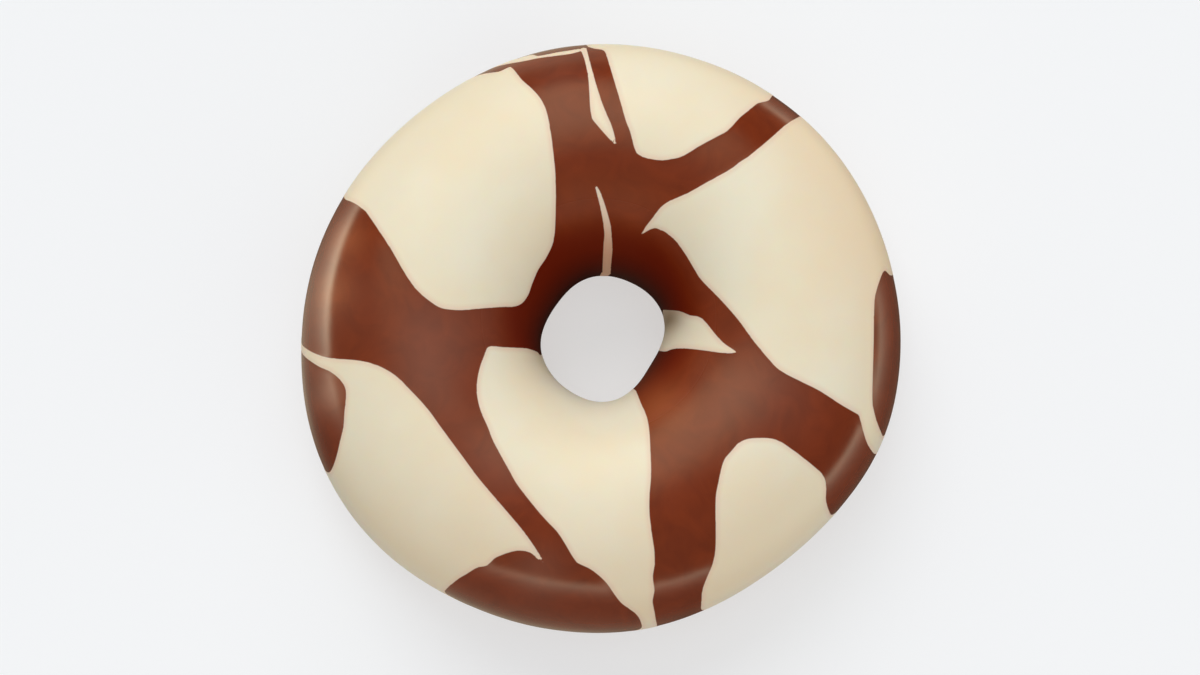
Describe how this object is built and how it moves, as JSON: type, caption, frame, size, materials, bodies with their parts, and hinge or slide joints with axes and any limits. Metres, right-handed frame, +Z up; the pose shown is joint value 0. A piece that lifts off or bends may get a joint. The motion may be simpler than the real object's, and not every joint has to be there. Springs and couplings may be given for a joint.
{
  "type": "white chocolate doughnut",
  "caption": "Ring doughnut dipped in marbled white chocolate, slightly uneven, resting on its flat fried base.",
  "frame": {"origin": "on the table, under the middle of the ring", "axes": "+Z up out of the base, +X to the right and +Y to the top of the picture seen from above"},
  "size_m": [0.0898, 0.0882, 0.0334],
  "materials": {
    "fried_dough": "fried golden brown, with a paler band round the side",
    "white_chocolate": "smooth set coating, ivory marbled with milk chocolate brown"
  },
  "bodies": {
    "root": {"dough_ring": "fried_dough", "white_chocolate_coating": "white_chocolate"}
  },
  "joints": []
}
